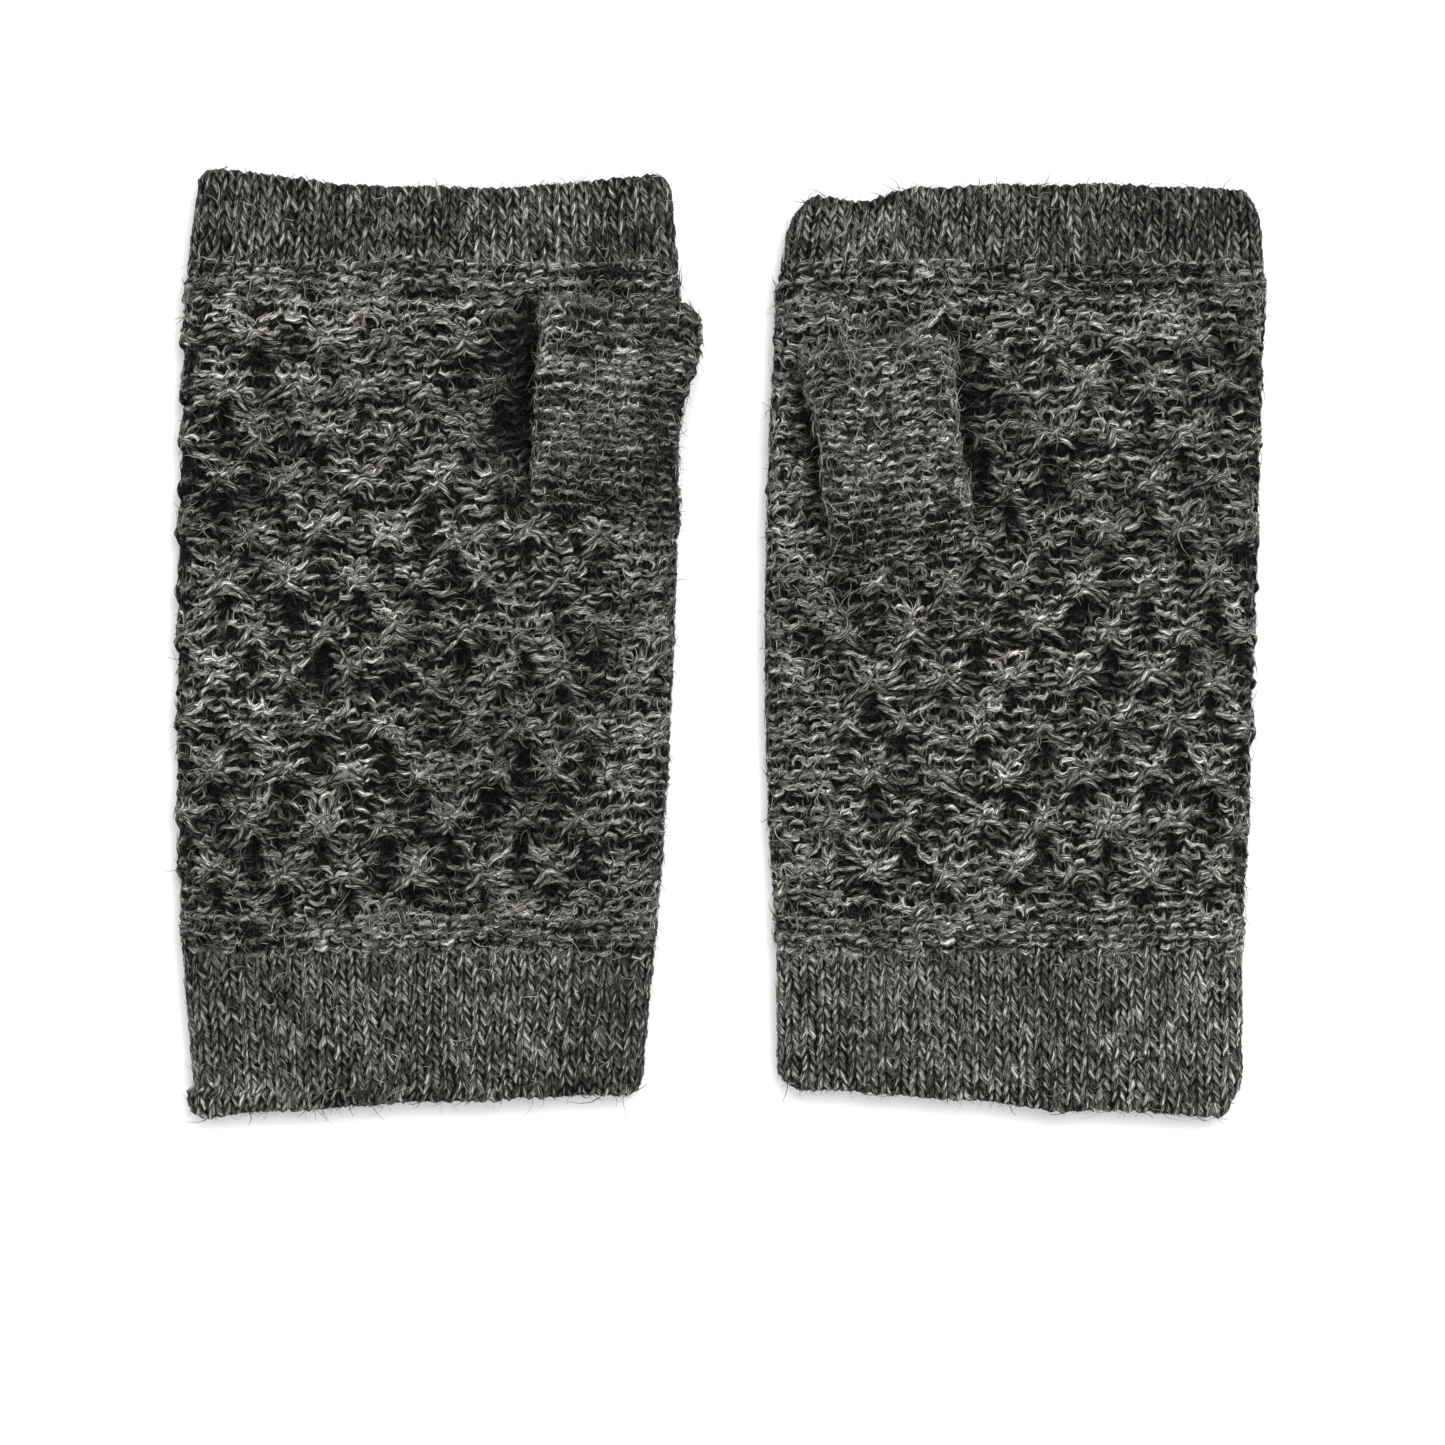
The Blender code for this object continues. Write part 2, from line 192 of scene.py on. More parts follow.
class Glove:
    """Where the cloth of one glove lies, read from its CAD nodes."""

    def __init__(self, side, lie, seed):
        self.side, self.seed = side, seed
        self.lie = lie
        hand = corners(*(f"{side}_{part}" for part in ("palm", "back", "side_strip")))
        cuff, band = corners(f"{side}_wrist_cuff"), corners(f"{side}_knuckle_band")
        self.top = hand[:, 2].max()
        self.band_top = cuff[:, 2].max()
        self.hand_start, self.hand_end = hand[:, 1].min(), hand[:, 1].max()
        self.wrist_end, self.knuckle_start = cuff[:, 1].max(), band[:, 1].min()
        everything = np.vstack([hand, cuff, band])
        self.stations, lows, highs = [], [], []
        for y in sorted(set(np.round(everything[:, 1], 4))):
            row = everything[abs(everything[:, 1] - y) < 3 * MM]
            if np.ptp(row[:, 0]) > 0.08:
                self.stations.append(y)
                lows.append(row[:, 0].min())
                highs.append(row[:, 0].max())
        self.lows, self.highs = np.array(lows), np.array(highs)
        self.wrist_hem = self.hem_line(cuff, np.argmin)
        self.knuckle_hem = self.hem_line(band, np.argmax)
        thumb = corners(f"{side}_thumb_tube")
        self.thumb_side = 1 if thumb[:, 0].mean() > (self.lows.mean() + self.highs.mean()) / 2 else -1

    def hem_line(self, points, end):
        """The hem's place along the glove at its two sides, low x and then high x."""
        middle = points[:, 0].mean()
        sides = [points[points[:, 0] < middle], points[points[:, 0] > middle]]
        return [side[end(side[:, 1]), 1] for side in sides]

    def width(self, y):
        """Middle and half width of the CAD outline at y."""
        low = np.interp(y, self.stations, self.lows)
        high = np.interp(y, self.stations, self.highs)
        return (low + high) / 2, (high - low) / 2

    def body(self, f, y, top):
        """A point on the middle of the cloth, and its outward normal."""
        centre, half = self.width(y)
        centre = centre + np.polyval(self.lie["sway"], y / MM) * MM
        high = top - SKIN
        across, up, out_x, out_z = outline(f, half - EDGE_SKIN, SKIN, high)
        share = across / half
        loft = 1 - 0.20 * abs(share) ** 5 + 0.05 * ripples(across, y, self.seed, 0.04, 0.11)
        middle = (high + SKIN) / 2
        up = np.where(up > middle, middle + (up - middle) * loft, up)
        points = np.stack([centre + across, y + 0 * across, up], -1)
        normals = np.stack([out_x, 0 * out_x, out_z], -1)
        return points, normals

    def side_share(self, f):
        """From -1 at the low-x edge to 1 at the high-x edge, for a place round the tube."""
        across, _, _, _ = outline(f, 1.0, 0.0, 0.2)
        return across

    def hand(self, f, row, lift):
        """The hand, with row counted from its wrist end."""
        y = self.hand_start + (self.hand_end - self.hand_start) * row / HAND_ROWS
        y = y + 0.6 * MM * ripples(f * GIRTH, y, self.seed + 1, 0.02, 0.07)
        f = f + 0.0025 * ripples(f * GIRTH, y, self.seed + 2, 0.02, 0.07)
        uneven = y + 0.45 * MM * ripples(f * GIRTH, y, self.seed + 5, 0.006, 0.016)
        f = f + 0.0022 * ripples(f * GIRTH, y, self.seed + 6, 0.006, 0.016)
        points, normals = self.body(f, uneven, self.top)
        lift = lift - VALLEY_DEPTH * self.valley(points, normals)
        edge = abs(normals[..., :1])
        return settled(points + normals * lift[..., None] * (1 - 0.6 * edge)), normals

    def round_thumb(self, points):
        """How far points lie outside the thumb's outline: on its inner side, its outer side and past its
        tip, negative inside it, and how far along it they are from its root."""
        thumb = self.thumb
        local = points - thumb.hinge
        along = local @ thumb.ey - thumb.root
        across = (local @ thumb.ex - thumb.middle) * -self.thumb_side * np.sign(thumb.ex[0])
        return across - thumb.half, -across - thumb.half, along - thumb.length, along

    def valley(self, points, normals):
        """How far the palm sinks at these points because of the thumb lying on it, from 0 to 1."""
        inner, outer, past, along = self.round_thumb(points)
        reaches = [reach * MM for reach in self.lie["valley"]]
        spread = sum((np.clip(d, 0, None) / reach) ** 2 for d, reach in zip((inner, outer, past), reaches))
        start = np.clip(along / (18 * MM), 0, 1)
        return np.exp(-spread) * start * (normals[..., 2] > 0.5)

    def shade(self, points, normals):
        """How deep in shadow the palm lies beside the thumb. It is lighter past the thumb's tip, and
        right under it."""
        inner, outer, past, _ = self.round_thumb(points)
        under = np.clip(-np.maximum(np.maximum(inner, outer), past) / (4 * MM) - 0.3, 0, 1)
        beyond = np.clip(past / MM, 0, 1)
        return 0.92 * self.valley(points, normals) * (1 - 0.85 * under) * (1 - 0.6 * beyond)

    def welt(self, span, rows):
        """A raised ridge across span, with row counted from its wrist end."""

        def place(f, row, lift):
            along = row / rows
            y = span[0] + (span[1] - span[0]) * along
            y = y + 0.5 * MM * ripples(f * GIRTH, y, self.seed + 1, 0.02, 0.07)
            y = y + 0.35 * MM * ripples(f * GIRTH, y, self.seed + 5, 0.006, 0.016)
            points, normals = self.body(f, y, self.top)
            raised = 1.4 * MM * np.sin(np.pi * np.clip(along, 0, 1)) * (1 - 0.85 * abs(normals[..., 0]))
            normals = normals + np.stack([0 * f, (along - 0.5) * 0.9, 0 * f], -1)
            normals /= np.linalg.norm(normals, axis=-1, keepdims=True)
            return settled(points + normals * (lift + raised)[..., None]), normals

        return place

    def band(self, at_wrist, rows):
        """A folded band. Row 0 is at its welt end at the knuckles and at its hem end at the wrist.

        Rows past the hem run round the fold and back along the inner layer.
        """
        hem = self.wrist_hem if at_wrist else self.knuckle_hem
        start = self.wrist_end if at_wrist else self.knuckle_start
        out = -1 if at_wrist else 1
        end = "wrist" if at_wrist else "knuckle"
        curve = self.lie[f"{end}_hem"]
        low_corner, high_corner = self.lie[f"{end}_corners"]
        notch_at, notch_depth = self.lie[f"{end}_notch"]

        def place(f, row, lift):
            share = self.side_share(f)
            rounding = np.where(share < 0, low_corner, high_corner) * MM
            corner = np.clip((abs(share) - 0.92) / 0.08, 0, 1) ** 2 * rounding
            edge = np.interp(share, [-1, 1], hem) + np.polyval(curve, share) * MM - out * corner
            edge = edge - out * notch_depth * MM * np.exp(-(((share - notch_at) / 0.14) ** 2))
            edge = edge + 0.25 * MM * ripples(f * GIRTH, 0 * f, self.seed + 3, 0.01, 0.04)
            fold_at = edge - out * FOLD_RADIUS
            beyond = -row if at_wrist else row - rows
            pitch = abs(fold_at - start) / rows
            outer = np.clip(-beyond, 0, None) * pitch
            inner = np.clip(beyond - FOLD_ROWS, 0, None) * pitch
            turn = np.clip(beyond / FOLD_ROWS, 0, 1) * math.pi
            y = fold_at - out * (outer + inner) + out * FOLD_RADIUS * np.sin(turn)
            flat_y = np.clip(y, min(self.stations), max(self.stations))
            y_wave = 0.35 * MM * ripples(f * GIRTH, y, self.seed + 4, 0.015, 0.05)
            points, normals = self.body(f, flat_y, self.band_top)
            pinch = 0.8 * rounding * np.clip(1 - abs(y - edge) / (5 * MM), 0, 1) ** 2
            inset = FOLD_RADIUS * (1 - np.cos(turn)) + pinch * abs(normals[..., 0])
            facing = normals * np.cos(turn)[..., None]
            facing[..., 1] = out * np.sin(turn)
            points = points - normals * inset[..., None] + facing * lift[..., None]
            points[..., 1] += y - flat_y + y_wave * np.clip(-beyond / 3, 0, 1)
            return settled(points), facing

        return place


class Thumb:
    """Where the cloth of one flattened thumb tube lies. v runs from its root on the palm to its tip."""

    ROOT_HEIGHT = 1.6 * MM
    ROOT_SINK = 3.2 * MM  # its first rows lie this far down in the palm
    MOST_DRAPE = 4.5 * MM  # how far they follow the palm down where it rounds off at the side
    RISE = 11 * MM  # the thumb reaches its full height this far from its root
    HEIGHT_SHARE = 0.82  # of the CAD tube's height, because the real tube is squashed flatter

    def __init__(self, glove):
        side = glove.side
        joint = next(j for j in frame["joints"] if j["name"] == f"{side}_thumb_lift")
        self.glove = glove
        self.ex = np.array(joint["axis"], float)
        self.ex[2] = 0
        self.ey = np.array([-self.ex[1], self.ex[0], 0])
        self.hinge = np.array(joint["pos_m"], float)
        local = corners(*(f"{side}_thumb_{part}" for part in ("join", "tube", "edge"))) - self.hinge
        along, across = local @ self.ey, local @ self.ex
        self.root, self.length = along.min(), np.ptp(along)
        self.half = (across.max() - across.min()) / 2
        self.middle = (across.max() + across.min()) / 2
        tube = corners(f"{side}_thumb_tube")
        self.low, self.high = tube[:, 2].min(), tube[:, 2].max()
        self.bulge = glove.lie["thumb_bulge"] * MM * glove.thumb_side * np.sign(self.ex[0])

    def shade(self, points, normals):
        """The thumb turns away from the light towards its root and its outer side."""
        local = points - self.hinge
        along = (local @ self.ey - self.root) / self.length
        across = (local @ self.ex - self.middle) / self.half
        inward = -across * self.glove.thumb_side * np.sign(self.ex[0])
        # Painted shade, darker towards the thumb's root and its outer side.
        turned = np.clip(0.75 - 0.6 * along - 0.45 * inward, 0, 1)
        return self.glove.lie["thumb_painted_shade"] * turned

    def drape(self, flat):
        """How far the palm has rounded down below its top at these places across and along it."""
        centre, half = self.glove.width(flat[..., 1])
        radius = self.glove.top / 2
        from_edge = np.clip(half - abs(flat[..., 0] - centre), 0, radius)
        fall = radius - np.sqrt(radius**2 - (radius - from_edge) ** 2)
        return np.minimum(fall, self.MOST_DRAPE)

    def place(self, rows):
        def at(f, row, lift):
            along = row / rows
            v = self.length * along
            rise = np.clip(v / self.RISE, 0, 1)
            rise = rise * rise * (3 - 2 * rise)
            height = self.ROOT_HEIGHT + (self.high - self.low) * self.HEIGHT_SHARE * rise
            height = np.maximum(height - SKIN * rise, self.ROOT_HEIGHT)
            flare = 1 + 0.05 * np.clip((along - 0.6) / 0.4, 0, 1) ** 1.5 - 0.03 * np.sin(along * math.pi)
            half = (self.half - SKIN * 0.9) * flare
            bulge = self.bulge * np.exp(-(((along - 0.88) / 0.13) ** 2))
            low = self.low + 0.45 * MM - self.ROOT_SINK * (1 - rise)
            across, up, out_x, out_z = outline(f, half, low, low + height)
            share = across / half
            tip_curve = -2.2 * MM * np.clip(abs(share) - 0.82, 0, 1) / 0.18 * np.clip(along * 3 - 2, 0, 1)
            v = v + tip_curve + 0.5 * MM * ripples(f * THUMB_GIRTH, v, self.glove.seed + 8, 0.015, 0.05)
            across = across + 0.5 * MM * ripples(f * THUMB_GIRTH, v, self.glove.seed + 9, 0.015, 0.05)
            across = across + bulge * np.clip(share * np.sign(self.bulge), 0, 1) ** 3
            dent = 1 + 0.07 * ripples(across, v, self.glove.seed + 10, 0.018, 0.05) * rise
            up = low + (up - low) * dent * (1 - 0.10 * share**4)
            flat = self.hinge[:2] + self.ex[:2] * (self.middle + across)[..., None]
            flat = flat + self.ey[:2] * (self.root + v)[..., None]
            up = up - (1 - rise) * self.drape(flat)
            points = np.concatenate([flat, up[..., None]], -1)
            normals = self.ex * out_x[..., None] + np.array([0, 0, 1.0]) * out_z[..., None]
            return points + normals * lift[..., None], normals

        return at


# ---------------------------------------------------------------- stitches


def along_stitches(values, count):
    """Values held for each stitch of each row, blended smoothly along the row."""
    at = np.arange(count * SAMPLES + 1) / SAMPLES
    left = np.floor(at).astype(int)
    share = at - left
    share = share * share * (3 - 2 * share)
    width = values.shape[1]
    return values[:, left % width] * (1 - share) + values[:, (left + 1) % width] * share


class Rows:
    """Loops for whole rows of one zone, cut into pieces that share their ends."""

    def __init__(self, stitches, rows, purl, wobble=1.0):
        self.rows, self.purl = np.array(rows, float), purl
        shape = (len(self.rows), stitches)

        def spread():
            return np.clip(rng.standard_normal(shape), -1.7, 1.7)

        self.size = 1 + 0.10 * wobble * spread()
        self.shift = 0.055 * wobble * spread()
        self.rise = 0.05 * wobble * spread()
        self.depth = 0.13 * MM * wobble * spread()
        self.thick = 1 + 0.08 * spread()
        self.tone = rng.uniform(0, 1, shape)

    def take(self, first, last, only):
        """Stitch and row coordinates, lift, thickness and tone, for stitches first to last."""
        count = last - first
        t = first + np.arange(count * SAMPLES + 1) / SAMPLES
        held = [self.size, self.shift, self.rise, self.depth, self.thick, self.tone]
        rolled = [along_stitches(np.roll(values[only], -first, axis=1), count) for values in held]
        size, shift, rise, depth, thick, tone = rolled
        stitch = t + LOOP_SPREAD * np.sin(2 * TAU * t) + shift
        row = self.rows[only, None] + 0.5 - LOOP_RISE * size * np.cos(TAU * t) + rise
        lift = LEG_LIFT * np.cos(2 * TAU * t) * (1 if self.purl else -1) + depth
        return stitch, row, lift, thick, tone


def strip_mask(glove, stitch):
    """0 on the plain strip at the thumb-side edge, 1 away from it."""
    edge = HAND_STITCHES * (0.25 if glove.thumb_side > 0 else 0.75)
    away = abs(np.mod(stitch - edge + HAND_STITCHES / 2, HAND_STITCHES) - HAND_STITCHES / 2)
    return np.clip((away - STRIP_STITCHES / 2 + 0.5) / 2.5, 0, 1)


class Honeycomb:
    """The lattice of knots on one glove, with its own irregularities."""

    def __init__(self, glove):
        self.glove = glove
        self.columns = HAND_STITCHES // CELL_STITCHES
        self.lines = HAND_ROWS // CELL_ROWS + 1
        shape = (self.columns, self.lines)
        self.shift = rng.uniform(-0.38, 0.38, shape)
        self.rise = rng.uniform(-0.45, 0.45, shape)
        self.size = rng.uniform(0.65, 1.15, shape)

    def knot(self, i, j):
        """Stitch and row of knot i on line j, and how strong it is there."""
        offset = CELL_STITCHES / 2 * np.mod(j, 2)
        held = np.mod(i, self.columns), np.clip(j, 0, self.lines - 1)
        stitch = i * CELL_STITCHES + offset + self.shift[held]
        row = j * CELL_ROWS + self.rise[held]
        ends = np.clip(row / 3, 0, 1) * np.clip((HAND_ROWS - row) / 1.5, 0, 1)
        return stitch, row, self.size[held] * (0.25 + 0.75 * strip_mask(self.glove, stitch)) * ends

    def move(self, stitch, row, lift):
        """Draws reverse-stockinette loops into honeycomb cells. Also gives how shaded each point is."""
        pull_stitch, pull_row, relief, deep = 0 * stitch, 0 * row + 0 * stitch, 0 * stitch, 0 * stitch
        for odd in (0, 1):
            j = 2 * np.round((row / CELL_ROWS - odd) / 2).astype(int) + odd
            i = np.round((stitch - CELL_STITCHES / 2 * odd) / CELL_STITCHES).astype(int)
            knot_stitch, knot_row, strength = self.knot(i, j)
            across, along = stitch - knot_stitch, row - knot_row
            near = np.cos(np.clip(across / CELL_STITCHES, -0.5, 0.5) * math.pi) ** 2
            near = near * np.cos(np.clip(along / CELL_ROWS / 2, -0.5, 0.5) * math.pi) ** 2
            pull_stitch = pull_stitch - GATHER[0] * across * near * strength
            pull_row = pull_row - GATHER[1] * along * near * strength
            pit = np.exp(-((across / 1.0) ** 2) - ((along + 1.35) / 1.2) ** 2) * strength
            knot = np.exp(-((across / 1.1) ** 2) - ((along - 0.7) / 1.1) ** 2) * strength
            relief = relief + KNOT_HEIGHT * knot - PIT_DEPTH * pit
            deep = deep + 1.5 * pit - 0.5 * knot
        mask = 0.25 + 0.75 * strip_mask(self.glove, stitch)
        mask = mask * np.clip(row / 3, 0, 1) * np.clip((HAND_ROWS - row) / 2, 0, 1)
        a, b = stitch / (CELL_STITCHES / 2), row / CELL_ROWS
        offsets = [x - np.round(x) for x in ((a - b) / 2, (a + b) / 2)]
        ridge = np.maximum(*(np.exp(-((d / 0.16) ** 2)) for d in offsets))
        cell = np.clip(-np.cos(math.pi * a) * np.cos(math.pi * b), 0, 1)
        relief = relief + mask * (RIDGE_HEIGHT * ridge - CELL_DEPTH * cell)
        deep = np.clip(deep + mask * (0.55 * cell - 0.30 * ridge), 0, 1)
        return stitch + pull_stitch, row + pull_row, lift + relief, deep


# ---------------------------------------------------------------- meshes


def tube_mesh(name, points, normals, radii, tone, deep, lift, sides=YARN_SIDES, plies=PLIES):
    """One mesh of closed tubes. points and normals are (tubes, points, 3), the rest (tubes, points)."""
    tubes, count = points.shape[:2]
    tangent = np.gradient(points, axis=1)
    tangent /= np.linalg.norm(tangent, axis=-1, keepdims=True) + 1e-12
    across = np.cross(tangent, normals)
    across /= np.linalg.norm(across, axis=-1, keepdims=True) + 1e-12
    up = np.cross(across, tangent)
    angles = np.arange(sides) * TAU / sides
    length = np.cumsum(np.linalg.norm(np.diff(points, axis=1, prepend=points[:, :1]), axis=-1), axis=1)
    length += rng.uniform(0, 90 * MM, (tubes, 1))
    swell = 1 + (PLY_DEPTH * np.cos(plies * (angles + TWIST * length[..., None])) if plies else 0)
    ring = np.cos(angles)[:, None] * up[:, :, None] + np.sin(angles)[:, None] * across[:, :, None]
    verts = points[:, :, None] + ring * (radii[..., None] * swell)[..., None]
    # Painted shade: the yarn's colour darkens on its flanks and underside, where it lies low between the
    # loops, through the deep attribute.
    height = (lift[..., None] + radii[..., None] * np.cos(angles)) / radii[..., None]
    deep = np.clip(1 - (1 - deep[..., None]) * (1 - np.clip(2.8 - 1.95 * height, 0, 1)), 0, 1)
    start = (np.arange(tubes) * count * sides)[:, None, None]
    step = (np.arange(count - 1) * sides)[None, :, None]
    k = np.arange(sides)[None, None, :]
    k2 = (k + 1) % sides
    corner = start + step
    quads = np.stack([corner + k, corner + k2, corner + sides + k2, corner + sides + k], -1)
    before, after = length[:, :-1], length[:, 1:]
    u = np.stack([before, before, after, after], -1)[:, :, None, :]
    v = np.stack([k, k + 1, k + 1, k], -1) / sides
    uv = np.stack(np.broadcast_arrays(u / UV_LENGTH, v), -1)
    caps = []
    for end, turn in ((0, -1), (count - 1, 1)):
        first = (np.arange(tubes) * count + end)[:, None] * sides
        loop = np.arange(sides)[::turn]
        for i in range(1, sides - 1):
            caps.append(first + loop[[0, i, i + 1]])
    caps = np.concatenate(caps)
    uv = np.concatenate([uv.reshape(-1, 2), np.full((len(caps) * 3, 2), 0.5)])
    mesh = raw_mesh(name, verts.reshape(-1, 3), quads.reshape(-1, 4), caps, uv)
    for label, values in (("tone", np.repeat(tone.reshape(-1), sides)), ("deep", deep.reshape(-1))):
        attribute = mesh.attributes.new(label, "FLOAT", "POINT")
        attribute.data.foreach_set("value", values.astype(np.float32))
    return mesh


def raw_mesh(name, verts, quads, triangles=np.zeros((0, 3), int), uv=None):
    """A smooth mesh from arrays."""
    mesh = bpy.data.meshes.new(name)
    mesh.vertices.add(len(verts))
    mesh.vertices.foreach_set("co", np.ascontiguousarray(verts, np.float32).ravel())
    corners_of = np.concatenate([quads.ravel(), triangles.ravel()]).astype(np.int32)
    sizes = np.concatenate([np.full(len(quads), 4), np.full(len(triangles), 3)])
    starts = np.concatenate([[0], np.cumsum(sizes)[:-1]]).astype(np.int32)
    mesh.loops.add(len(corners_of))
    mesh.loops.foreach_set("vertex_index", corners_of)
    mesh.polygons.add(len(sizes))
    mesh.polygons.foreach_set("loop_start", starts)
    mesh.update(calc_edges=True)
    mesh.shade_smooth()
    if uv is not None:
        layer = mesh.uv_layers.new(name="yarn")
        layer.data.foreach_set("uv", np.ascontiguousarray(uv, np.float32).ravel())
    return mesh


def add_object(mesh, material):
    """A visible piece, named after its mesh."""
    mesh.materials.append(material)
    obj = bpy.data.objects.new(mesh.name, mesh)
    bpy.context.scene.collection.objects.link(obj)
    return obj


def joined(parts):
    """Several sets of tube arrays with the same number of points each, as one."""
    return [np.concatenate(arrays) for arrays in zip(*parts)]


# ---------------------------------------------------------------- zones of knitting


class Knit:
    """Yarn arrays of one zone: middle points, outward directions, radii, tone, shade and lift."""

    def __init__(self, points, normals, radii, tone, deep, lift):
        self.arrays = [points, normals, radii, tone, deep, lift]

    def mesh(self, name):
        return tube_mesh(name, *self.arrays)


def knit(place, rows, first, last, stitches, radius, only=slice(None), move=None, shade=None,
         exposed=0.0):
    """Lays loops on a surface, in all the rows or only some. place(f, row, lift) gives the surface, move
    shifts loops over it, and shade says how deep in shadow each point lies. The yarn is shaded as if it
    lay higher, by exposed radii."""
    stitch, row, lift, thick, tone = rows.take(first, last, only)
    own_lift, deep = lift + exposed * radius, 0 * stitch
    if move is not None:
        stitch, row, lift, deep = move(stitch, row, lift)
    points, normals = place(stitch / stitches, row, lift)
    if shade is not None:
        deep = 1 - (1 - deep) * (1 - shade(points, normals))
    return Knit(points, normals, radius * thick, tone, deep, own_lift)


def strands(glove, honeycomb, first, last, kind):
    """Short strands at each knot from stitch first to last."""
    reach, drop, start, wide, high, kept = STRANDS[kind]
    s = np.linspace(-1, 1, 19)
    knots = []
    for j in range(1, honeycomb.lines):
        for i in range(-1, 2 * honeycomb.columns):
            stitch, row, strength = honeycomb.knot(np.array(i), np.array(j))
            inside = first <= i * CELL_STITCHES + CELL_STITCHES / 2 * (j % 2) < last
            if inside and strength > 0.12 and rng.random() < kept:
                knots.append((stitch, row, strength))
    knots = np.array(knots)
    one = (len(knots), 1)
    size = (knots[:, 2:] ** 0.5) * rng.uniform(0.7, 1.2, one)
    lean = rng.uniform(-0.4, 0.4, one)
    tilt = rng.uniform(-0.5, 0.5, one)
    bend = np.sqrt(s**2 + 0.01) - 0.1
    stitch = knots[:, :1] + reach * s * size + 0.25 * lean + 0.12 * np.sin(5 * s + 9 * lean)
    row = knots[:, 1:2] + start + drop * size * bend * (1 + lean * s)
    lift = MM * (high - 1.6 * abs(s) ** 2.5 + tilt * s) + KNOT_HEIGHT * 0.7 * knots[:, 2:]
    points, normals = glove.hand(stitch / HAND_STITCHES, np.clip(row, 0.5, HAND_ROWS), lift)
    radii = HAND_YARN * (wide - 0.3 * abs(s) ** 3) * rng.uniform(0.85, 1.1, one)
    tone = rng.uniform(0.0, 0.5, one) + 0 * row
    deep = glove.shade(points, normals)
    return Knit(points, normals, radii, tone, deep, 0.6 * MM * (1 - s**2) + 0 * row)


def fibres(zones, glove, count, length, radius, lying, start_height, name):
    """Loose fibres standing off the yarn of these zones. lying is how flat they lie, from 0 to 1."""
    points, normals = [
        np.concatenate([zone.arrays[i].reshape(-1, 3) for zone in zones]) for i in (0, 1)
    ]
    tangents = np.concatenate([np.gradient(zone.arrays[0], axis=1).reshape(-1, 3) for zone in zones])
    picks = rng.integers(0, len(points), count)
    start, normal, tangent = points[picks], normals[picks], tangents[picks]
    deep, own_lift = [
        np.concatenate([zone.arrays[i].reshape(-1) for zone in zones])[picks][:, None] for i in (4, 5)
    ]
    # Painted shade: fibres starting low between the loops are darker still than their yarn.
    deep = 1 - (1 - deep) * (1 - 0.75 * np.clip(0.5 - own_lift / (2 * LEG_LIFT), 0, 1))
    normal = normal / np.linalg.norm(normal, axis=1, keepdims=True)
    tangent /= np.linalg.norm(tangent, axis=1, keepdims=True) + 1e-9
    tangent *= rng.choice([-1, 1], (count, 1))
    side = np.cross(normal, tangent)
    angle = rng.normal(0, 0.6, (count, 1)) * (1 + lying)
    along = tangent * np.cos(angle) + side * np.sin(angle)
    middle, half = glove.width(start[:, 1:2])
    outward = np.sign(start[:, :1] - middle)
    near_side = abs(start[:, :1] - middle) > half - length
    turned = near_side & (along[:, :1] * outward > 0) & (rng.random((count, 1)) < TURNED_IN)
    along[:, :1] *= np.where(turned, -1, 1)
    climb = rng.uniform(0.15, 0.75, (count, 1)) * (1 - 0.75 * lying)
    climb *= 1 - 0.6 * abs(normal[:, :1])
    steps = 5
    size = length * rng.lognormal(0, 0.35, (count, 1))
    turn = rng.normal(0, 0.8, (count, 1)) * (1 + 0.6 * lying)
    across = np.cross(normal, along)
    s = np.linspace(0, 1, steps)
    path = [
        start + normal * start_height
        + size * (along * np.sin(t * 1.2) + normal * climb * np.sin(t * 2.2) + across * turn * t * t * 0.5)
        for t in s
    ]
    path = np.stack(path, 1)
    path[..., 2] = np.maximum(path[..., 2], REST_GAP)
    radii = radius * (1.05 - 0.75 * s) * rng.uniform(0.8, 1.2, (count, 1))
    tone = rng.uniform(0, 1, (count, 1)) + 0 * radii
    held = np.broadcast_to(normal[:, None], path.shape)
    return tube_mesh(name, path, held, radii, tone, deep + 0 * radii, radii * 2, sides=3, plies=0)


def cloth_grid(name, place, stitches, low, high, lift):
    """A single surface under the yarn, all the way round, between rows low and high."""
    columns = 2 * stitches
    lines = int(round((high - low) * 2))
    stitch, row = np.meshgrid(np.arange(columns) / 2, np.linspace(low, high, lines + 1))
    points, _ = place(stitch / stitches, row, lift(stitch, row))
    i, k = np.meshgrid(np.arange(lines) * columns, np.arange(columns), indexing="ij")
    k2 = (k + 1) % columns
    faces = np.stack([i + k2, i + k, i + columns + k, i + columns + k2], -1)
    return raw_mesh(name, points.reshape(-1, 3), faces.reshape(-1, 4))


# ---------------------------------------------------------------- materials


class Graph:
    """A short way to write a node tree."""

    def __init__(self, name):
        self.material = bpy.data.materials.new(name)
        self.material.use_nodes = True
        self.nodes = self.material.node_tree.nodes
        self.links = self.material.node_tree.links
        self.shader = self.nodes["Principled BSDF"]

    def add(self, kind, inputs=(), **settings):
        node = self.nodes.new(kind)
        for key, value in settings.items():
            setattr(node, key, value)
        for key, value in dict(inputs).items():
            if isinstance(value, bpy.types.NodeSocket):
                self.links.new(value, node.inputs[key])
            else:
                node.inputs[key].default_value = value
        return node

    def steeper(self, value, most):
        """value from 0 to 1, eased at both ends, and scaled to most."""
        node = self.add("ShaderNodeMapRange", {0: value, 4: most}, interpolation_type="SMOOTHSTEP")
        return node.outputs[0]

    def math(self, operation, *values):
        node = self.add("ShaderNodeMath", dict(enumerate(values)), operation=operation)
        return node.outputs[0]

    def set(self, socket, value):
        if isinstance(value, bpy.types.NodeSocket):
            self.links.new(value, self.shader.inputs[socket])
        else:
            self.shader.inputs[socket].default_value = value


def grey(value, warmth=0.0):
    """A near-neutral colour. warmth moves it from cool grey towards brown."""
    return (value * (0.985 + warmth), value, value * (0.925 - 1.2 * warmth), 1.0)


